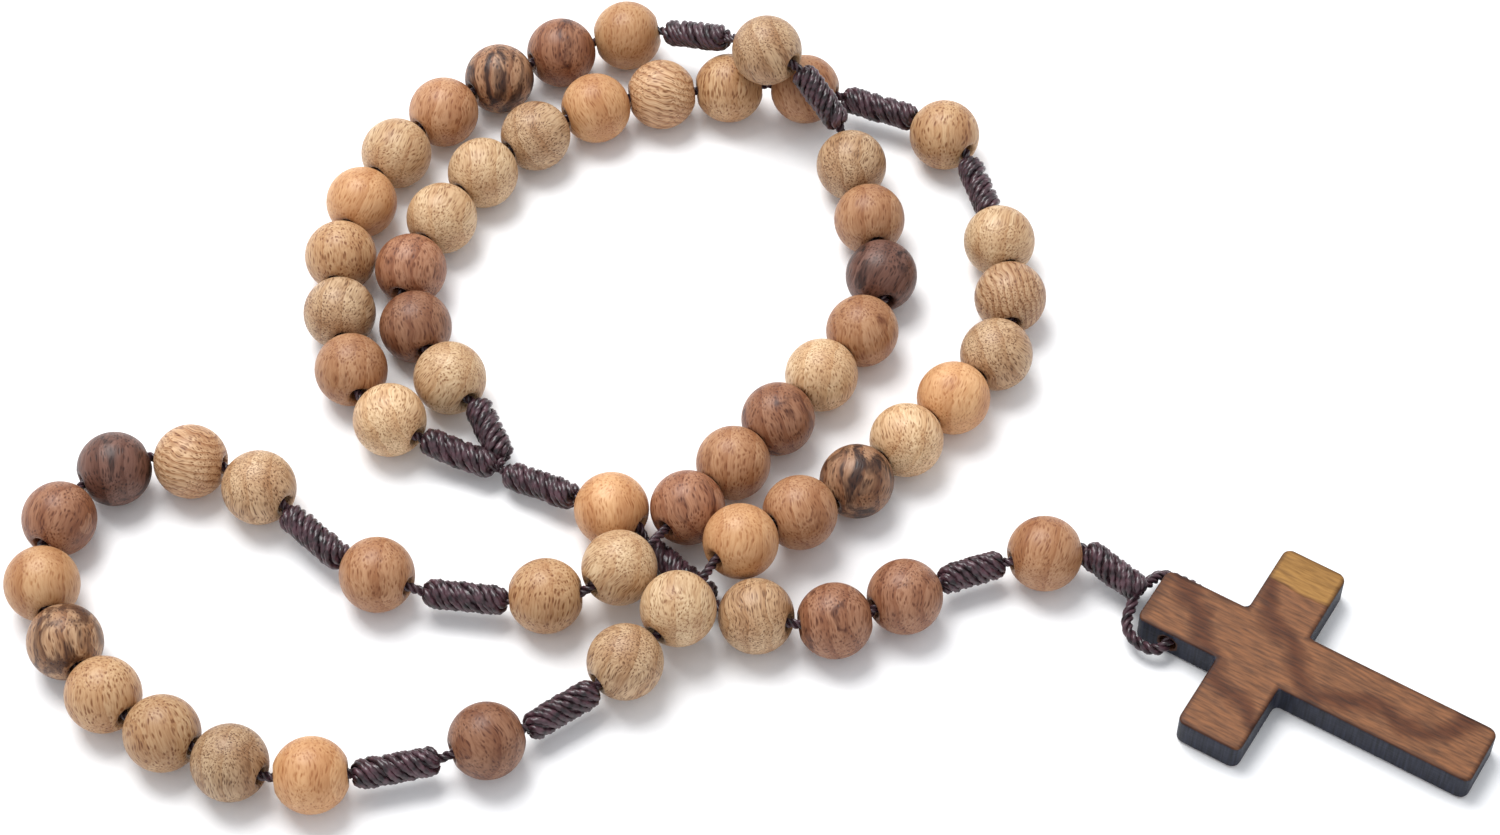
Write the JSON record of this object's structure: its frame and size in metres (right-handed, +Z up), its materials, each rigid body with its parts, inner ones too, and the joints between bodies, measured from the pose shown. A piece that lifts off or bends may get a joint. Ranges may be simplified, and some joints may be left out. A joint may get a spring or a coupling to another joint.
{
  "type": "rosary",
  "caption": "Rosary of round wooden beads on a dark twisted cord with barrel knots, its pendant ending in a flat wooden cross, lying on a table.",
  "frame": {"origin": "on the table, under the middle of the bounding box", "axes": "+Z up from the table; +X to the viewer's right, along the longest extent; +Y away from the viewer"},
  "size_m": [0.1906, 0.1334, 0.0186],
  "materials": {
    "pale_wood": "satin, lightly waxed",
    "honey_wood": "satin, lightly waxed",
    "orange_wood": "satin, lightly waxed",
    "brown_wood": "satin, lightly waxed",
    "dark_wood": "satin, lightly waxed",
    "figured_wood": "satin, lightly waxed",
    "cross_wood": "satin face with scorched edges",
    "cord": "twisted nylon, low sheen"
  },
  "bodies": {
    "loop_cord": {"loop_cord": "cord"},
    "pendant_cord_1": {"pendant_cord_1": "cord"},
    "pendant_cord_2": {"pendant_cord_2": "cord"},
    "pendant_cord_3": {"pendant_cord_3": "cord"},
    "cross": {"cross": "cross_wood"},
    "decade_1_bead_01": {"decade_1_bead_01": "pale_wood"},
    "decade_1_bead_02": {"decade_1_bead_02": "orange_wood"},
    "decade_1_bead_03": {"decade_1_bead_03": "honey_wood"},
    "decade_1_bead_04": {"decade_1_bead_04": "orange_wood"},
    "decade_1_bead_05": {"decade_1_bead_05": "honey_wood"},
    "decade_1_bead_06": {"decade_1_bead_06": "pale_wood"},
    "decade_1_bead_07": {"decade_1_bead_07": "orange_wood"},
    "decade_1_bead_08": {"decade_1_bead_08": "figured_wood"},
    "decade_1_bead_09": {"decade_1_bead_09": "dark_wood"},
    "decade_1_bead_10": {"decade_1_bead_10": "honey_wood"},
    "decade_2_bead_01": {"decade_2_bead_01": "pale_wood"},
    "decade_2_bead_02": {"decade_2_bead_02": "orange_wood"},
    "decade_2_bead_03": {"decade_2_bead_03": "dark_wood"},
    "decade_2_bead_04": {"decade_2_bead_04": "orange_wood"},
    "decade_2_beads_05_06": {"decade_2_beads_05_06": "pale_wood"},
    "decade_2_beads_07_08": {"decade_2_beads_07_08": "brown_wood"},
    "decade_2_bead_09": {"decade_2_bead_09": "pale_wood"},
    "decade_2_bead_10": {"decade_2_bead_10": "pale_wood"},
    "decade_3_bead_01": {"decade_3_bead_01": "honey_wood"},
    "decade_3_bead_02": {"decade_3_bead_02": "pale_wood"},
    "decade_3_bead_03": {"decade_3_bead_03": "dark_wood"},
    "decade_3_bead_04": {"decade_3_bead_04": "figured_wood"},
    "decade_3_bead_05": {"decade_3_bead_05": "honey_wood"},
    "decade_3_bead_06": {"decade_3_bead_06": "figured_wood"},
    "decade_3_bead_07": {"decade_3_bead_07": "honey_wood"},
    "decade_3_beads_08_09": {"decade_3_beads_08_09": "honey_wood"},
    "decade_3_bead_10": {"decade_3_bead_10": "honey_wood"},
    "decade_4_bead_01": {"decade_4_bead_01": "pale_wood"},
    "decade_4_bead_02": {"decade_4_bead_02": "pale_wood"},
    "decade_4_bead_03": {"decade_4_bead_03": "honey_wood"},
    "decade_4_bead_04": {"decade_4_bead_04": "brown_wood"},
    "decade_4_beads_05_06": {"decade_4_beads_05_06": "dark_wood"},
    "decade_4_bead_07": {"decade_4_bead_07": "honey_wood"},
    "decade_4_bead_08": {"decade_4_bead_08": "pale_wood"},
    "decade_4_bead_09": {"decade_4_bead_09": "figured_wood"},
    "decade_4_bead_10": {"decade_4_bead_10": "pale_wood"},
    "decade_5_bead_01": {"decade_5_bead_01": "orange_wood"},
    "decade_5_bead_02": {"decade_5_bead_02": "honey_wood"},
    "decade_5_bead_03": {"decade_5_bead_03": "pale_wood"},
    "decade_5_bead_04": {"decade_5_bead_04": "orange_wood"},
    "decade_5_bead_05": {"decade_5_bead_05": "pale_wood"},
    "decade_5_bead_06": {"decade_5_bead_06": "pale_wood"},
    "decade_5_bead_07": {"decade_5_bead_07": "pale_wood"},
    "decade_5_bead_08": {"decade_5_bead_08": "figured_wood"},
    "decade_5_bead_09": {"decade_5_bead_09": "dark_wood"},
    "decade_5_bead_10": {"decade_5_bead_10": "pale_wood"},
    "our_father_bead_1": {"our_father_bead_1": "pale_wood"},
    "our_father_bead_2": {"our_father_bead_2": "honey_wood"},
    "our_father_bead_3": {"our_father_bead_3": "brown_wood"},
    "our_father_bead_4": {"our_father_bead_4": "honey_wood"},
    "our_father_bead_5": {"our_father_bead_5": "honey_wood"},
    "our_father_bead_6": {"our_father_bead_6": "orange_wood"},
    "pendant_bead_1": {"pendant_bead_1": "pale_wood"},
    "pendant_bead_2": {"pendant_bead_2": "figured_wood"},
    "pendant_bead_3": {"pendant_bead_3": "brown_wood"}
  },
  "joints": [
    {"name": "cord_bend_1", "type": "hinge", "parent": "loop_cord", "child": "pendant_cord_1", "pos_m": [0.007, -0.03971, 0.00535], "axis": [0.1702, -0.9854, 0], "range_deg": [-15, 35]},
    {"name": "cord_bend_2", "type": "hinge", "parent": "pendant_cord_1", "child": "pendant_cord_2", "pos_m": [0.02566, -0.0327, 0.00428], "axis": [0, 0, 1], "range_deg": [-45, 40]},
    {"name": "cord_bend_3", "type": "hinge", "parent": "pendant_cord_2", "child": "pendant_cord_3", "pos_m": [0.0446, -0.02747, 0.00475], "axis": [0.2443, -0.9697, 0], "range_deg": [-5, 45]},
    {"name": "cross_swing", "type": "hinge", "parent": "pendant_cord_3", "child": "cross", "pos_m": [0.05738, -0.03681, 0.0023], "axis": [-0.524, -0.8517, 0], "range_deg": [-120, 120]},
    {"name": "slide_our_father_bead_2", "type": "slide", "parent": "loop_cord", "child": "our_father_bead_2", "axis": [-0.9083, 0.4183, 0.0022], "range_m": [-0.0006, 0]},
    {"name": "slide_our_father_bead_3", "type": "slide", "parent": "loop_cord", "child": "our_father_bead_3", "axis": [0.9199, 0.392, 0.0085], "range_m": [-0.0008, 0]},
    {"name": "slide_decade_4_bead_03", "type": "slide", "parent": "loop_cord", "child": "decade_4_bead_03", "axis": [0.7356, 0.6727, -0.08], "range_m": [-0.0009, 0]},
    {"name": "spin_decade_1_bead_01", "type": "hinge", "parent": "loop_cord", "child": "decade_1_bead_01", "pos_m": [-0.0469, -0.00703, 0.00495], "axis": [-0.8163, 0.5755, 0.0495], "continuous": true},
    {"name": "spin_decade_1_bead_02", "type": "hinge", "parent": "loop_cord", "child": "decade_1_bead_02", "pos_m": [-0.0526, 0.00132, 0.00495], "axis": [-0.2952, 0.9554, -0.0052], "continuous": true},
    {"name": "spin_decade_1_bead_03", "type": "hinge", "parent": "loop_cord", "child": "decade_1_bead_03", "pos_m": [-0.05483, 0.01108, 0.00495], "axis": [-0.1534, 0.9882, 0], "continuous": true},
    {"name": "spin_decade_1_bead_04", "type": "hinge", "parent": "loop_cord", "child": "decade_1_bead_04", "pos_m": [-0.05532, 0.02105, 0.00495], "axis": [0.095, 0.9955, 0], "continuous": true},
    {"name": "spin_decade_1_bead_05", "type": "hinge", "parent": "loop_cord", "child": "decade_1_bead_05", "pos_m": [-0.05305, 0.03069, 0.00495], "axis": [0.3385, 0.941, 0], "continuous": true},
    {"name": "spin_decade_1_bead_06", "type": "hinge", "parent": "loop_cord", "child": "decade_1_bead_06", "pos_m": [-0.04872, 0.0396, 0.00495], "axis": [0.5371, 0.8435, 0], "continuous": true},
    {"name": "spin_decade_1_bead_07", "type": "hinge", "parent": "loop_cord", "child": "decade_1_bead_07", "pos_m": [-0.04242, 0.04726, 0.00495], "axis": [0.7134, 0.7007, 0], "continuous": true},
    {"name": "spin_decade_1_bead_08", "type": "hinge", "parent": "loop_cord", "child": "decade_1_bead_08", "pos_m": [-0.03476, 0.05357, 0.00495], "axis": [0.8235, 0.5672, -0.0061], "continuous": true},
    {"name": "spin_decade_1_bead_09", "type": "hinge", "parent": "loop_cord", "child": "decade_1_bead_09", "pos_m": [-0.02603, 0.05854, 0.00495], "axis": [0.9039, 0.427, -0.0241], "continuous": true},
    {"name": "spin_decade_1_bead_10", "type": "hinge", "parent": "loop_cord", "child": "decade_1_bead_10", "pos_m": [-0.01659, 0.06188, 0.00495], "axis": [0.9798, 0.1385, 0.1441], "continuous": true},
    {"name": "spin_decade_2_bead_01", "type": "hinge", "parent": "loop_cord", "child": "decade_2_bead_01", "pos_m": [0.01556, 0.03745, 0.00496], "axis": [0.2813, -0.9372, -0.2064], "continuous": true},
    {"name": "spin_decade_2_bead_02", "type": "hinge", "parent": "loop_cord", "child": "decade_2_bead_02", "pos_m": [0.01792, 0.02758, 0.00495], "axis": [0.1976, -0.9799, 0.0268], "continuous": true},
    {"name": "spin_decade_2_bead_03", "type": "hinge", "parent": "loop_cord", "child": "decade_2_bead_03", "pos_m": [0.01938, 0.01753, 0.00495], "axis": [0.0931, -0.9956, 0.0076], "continuous": true},
    {"name": "spin_decade_2_bead_04", "type": "hinge", "parent": "loop_cord", "child": "decade_2_bead_04", "pos_m": [0.01656, 0.00796, 0.00495], "axis": [-0.5649, -0.8251, 0.0106], "continuous": true},
    {"name": "spin_decade_2_beads_05_06", "type": "hinge", "parent": "loop_cord", "child": "decade_2_beads_05_06", "pos_m": [0.00797, -0.00329, 0.00511], "axis": [-0.6239, -0.7814, 0.0115], "continuous": true},
    {"name": "spin_decade_2_beads_07_08", "type": "hinge", "parent": "loop_cord", "child": "decade_2_beads_07_08", "pos_m": [-0.00392, -0.01794, 0.0054], "axis": [-0.633, -0.7738, 0.0218], "continuous": true},
    {"name": "spin_decade_2_bead_09", "type": "hinge", "parent": "loop_cord", "child": "decade_2_bead_09", "pos_m": [-0.01559, -0.03179, 0.0066], "axis": [-0.7817, -0.6229, -0.0314], "continuous": true},
    {"name": "spin_decade_2_bead_10", "type": "hinge", "parent": "loop_cord", "child": "decade_2_bead_10", "pos_m": [-0.02519, -0.03511, 0.00495], "axis": [-0.9977, -0.0169, -0.066], "continuous": true},
    {"name": "spin_decade_3_bead_01", "type": "hinge", "parent": "loop_cord", "child": "decade_3_bead_01", "pos_m": [-0.06352, -0.01801, 0.00495], "axis": [-0.8035, 0.5953, 0], "continuous": true},
    {"name": "spin_decade_3_bead_02", "type": "hinge", "parent": "loop_cord", "child": "decade_3_bead_02", "pos_m": [-0.07289, -0.01381, 0.00495], "axis": [-0.9885, 0.1514, 0], "continuous": true},
    {"name": "spin_decade_3_bead_03", "type": "hinge", "parent": "loop_cord", "child": "decade_3_bead_03", "pos_m": [-0.08296, -0.01503, 0.00495], "axis": [-0.8712, -0.491, 0], "continuous": true},
    {"name": "spin_decade_3_bead_04", "type": "hinge", "parent": "loop_cord", "child": "decade_3_bead_04", "pos_m": [-0.08933, -0.02303, 0.00495], "axis": [-0.408, -0.913, 0], "continuous": true},
    {"name": "spin_decade_3_bead_05", "type": "hinge", "parent": "loop_cord", "child": "decade_3_bead_05", "pos_m": [-0.09042, -0.03321, 0.00495], "axis": [0.2738, -0.9618, 0], "continuous": true},
    {"name": "spin_decade_3_bead_06", "type": "hinge", "parent": "loop_cord", "child": "decade_3_bead_06", "pos_m": [-0.08644, -0.04209, 0.00495], "axis": [0.4908, -0.8713, 0], "continuous": true},
    {"name": "spin_decade_3_bead_07", "type": "hinge", "parent": "loop_cord", "child": "decade_3_bead_07", "pos_m": [-0.08076, -0.04997, 0.00495], "axis": [0.7054, -0.7088, 0], "continuous": true},
    {"name": "spin_decade_3_beads_08_09", "type": "hinge", "parent": "loop_cord", "child": "decade_3_beads_08_09", "pos_m": [-0.06833, -0.05784, 0.00495], "axis": [0.9006, -0.4347, 0], "continuous": true},
    {"name": "spin_decade_3_bead_10", "type": "hinge", "parent": "loop_cord", "child": "decade_3_bead_10", "pos_m": [-0.05348, -0.0618, 0.00495], "axis": [0.9953, 0.0972, -0.0009], "continuous": true},
    {"name": "spin_decade_4_bead_01", "type": "hinge", "parent": "loop_cord", "child": "decade_4_bead_01", "pos_m": [-0.01465, -0.04543, 0.0054], "axis": [0.7783, 0.6218, 0.0876], "continuous": true},
    {"name": "spin_decade_4_bead_02", "type": "hinge", "parent": "loop_cord", "child": "decade_4_bead_02", "pos_m": [-0.00796, -0.03855, 0.0072], "axis": [0.6164, 0.7739, 0.1453], "continuous": true},
    {"name": "spin_decade_4_bead_04", "type": "hinge", "parent": "loop_cord", "child": "decade_4_bead_04", "pos_m": [0.00785, -0.02289, 0.00622], "axis": [0.8121, 0.5547, -0.1813], "continuous": true},
    {"name": "spin_decade_4_beads_05_06", "type": "hinge", "parent": "loop_cord", "child": "decade_4_beads_05_06", "pos_m": [0.01877, -0.01365, 0.00495], "axis": [0.71, 0.7042, 0], "continuous": true},
    {"name": "spin_decade_4_bead_07", "type": "hinge", "parent": "loop_cord", "child": "decade_4_bead_07", "pos_m": [0.02862, -0.00336, 0.00495], "axis": [0.6664, 0.7455, 0.0149], "continuous": true},
    {"name": "spin_decade_4_bead_08", "type": "hinge", "parent": "loop_cord", "child": "decade_4_bead_08", "pos_m": [0.03466, 0.00397, 0.00495], "axis": [0.5626, 0.8267, 0.0039], "continuous": true},
    {"name": "spin_decade_4_bead_09", "type": "hinge", "parent": "loop_cord", "child": "decade_4_bead_09", "pos_m": [0.03697, 0.01375, 0.00495], "axis": [-0.0037, 1, 0], "continuous": true},
    {"name": "spin_decade_4_bead_10", "type": "hinge", "parent": "loop_cord", "child": "decade_4_bead_10", "pos_m": [0.03586, 0.02375, 0.00495], "axis": [-0.2381, 0.9712, 0], "continuous": true},
    {"name": "spin_decade_5_bead_01", "type": "hinge", "parent": "loop_cord", "child": "decade_5_bead_01", "pos_m": [0.00919, 0.05159, 0.00495], "axis": [-0.9677, 0.252, 0], "continuous": true},
    {"name": "spin_decade_5_bead_02", "type": "hinge", "parent": "loop_cord", "child": "decade_5_bead_02", "pos_m": [-0.00167, 0.0518, 0.00495], "axis": [-0.9922, -0.1245, 0], "continuous": true},
    {"name": "spin_decade_5_bead_03", "type": "hinge", "parent": "loop_cord", "child": "decade_5_bead_03", "pos_m": [-0.01139, 0.05058, 0.00495], "axis": [-0.9859, -0.1671, 0], "continuous": true},
    {"name": "spin_decade_5_bead_04", "type": "hinge", "parent": "loop_cord", "child": "decade_5_bead_04", "pos_m": [-0.0208, 0.04796, 0.00495], "axis": [-0.9132, -0.4076, 0], "continuous": true},
    {"name": "spin_decade_5_bead_05", "type": "hinge", "parent": "loop_cord", "child": "decade_5_bead_05", "pos_m": [-0.02921, 0.04278, 0.00495], "axis": [-0.7899, -0.6132, 0], "continuous": true},
    {"name": "spin_decade_5_bead_06", "type": "hinge", "parent": "loop_cord", "child": "decade_5_bead_06", "pos_m": [-0.03635, 0.03596, 0.00495], "axis": [-0.6402, -0.7682, 0], "continuous": true},
    {"name": "spin_decade_5_bead_07", "type": "hinge", "parent": "loop_cord", "child": "decade_5_bead_07", "pos_m": [-0.0417, 0.02774, 0.00495], "axis": [-0.4657, -0.8849, 0], "continuous": true},
    {"name": "spin_decade_5_bead_08", "type": "hinge", "parent": "loop_cord", "child": "decade_5_bead_08", "pos_m": [-0.04552, 0.0187, 0.00495], "axis": [-0.2509, -0.968, 0], "continuous": true},
    {"name": "spin_decade_5_bead_09", "type": "hinge", "parent": "loop_cord", "child": "decade_5_bead_09", "pos_m": [-0.04433, 0.00872, 0.00495], "axis": [0.3748, -0.9271, 0.0028], "continuous": true},
    {"name": "spin_decade_5_bead_10", "type": "hinge", "parent": "loop_cord", "child": "decade_5_bead_10", "pos_m": [-0.0392, -0.00005, 0.00495], "axis": [0.5828, -0.8121, -0.0294], "continuous": true},
    {"name": "spin_our_father_bead_1", "type": "hinge", "parent": "loop_cord", "child": "our_father_bead_1", "pos_m": [0.00368, 0.05119, 0.0137], "axis": [0.7994, -0.5991, 0.0461], "continuous": true},
    {"name": "spin_our_father_bead_4", "type": "hinge", "parent": "loop_cord", "child": "our_father_bead_4", "pos_m": [0.02886, 0.04301, 0.00495], "axis": [-0.6896, 0.7242, 0], "continuous": true},
    {"name": "spin_our_father_bead_5", "type": "hinge", "parent": "loop_cord", "child": "our_father_bead_5", "pos_m": [-0.01692, -0.02151, 0.00495], "axis": [0.8439, -0.5312, -0.0756], "continuous": true},
    {"name": "spin_our_father_bead_6", "type": "hinge", "parent": "pendant_cord_2", "child": "our_father_bead_6", "pos_m": [0.03968, -0.02851, 0.00495], "axis": [0.9692, 0.2442, 0.0311], "continuous": true},
    {"name": "spin_pendant_bead_1", "type": "hinge", "parent": "loop_cord", "child": "pendant_bead_1", "pos_m": [0.00208, -0.03821, 0.00495], "axis": [0.9285, -0.331, 0.1683], "continuous": true},
    {"name": "spin_pendant_bead_2", "type": "hinge", "parent": "pendant_cord_1", "child": "pendant_bead_2", "pos_m": [0.01218, -0.03891, 0.00495], "axis": [0.9854, 0.1702, -0.0066], "continuous": true},
    {"name": "spin_pendant_bead_3", "type": "hinge", "parent": "pendant_cord_1", "child": "pendant_bead_3", "pos_m": [0.02128, -0.03521, 0.00495], "axis": [0.8927, 0.4484, -0.0447], "continuous": true}
  ]
}
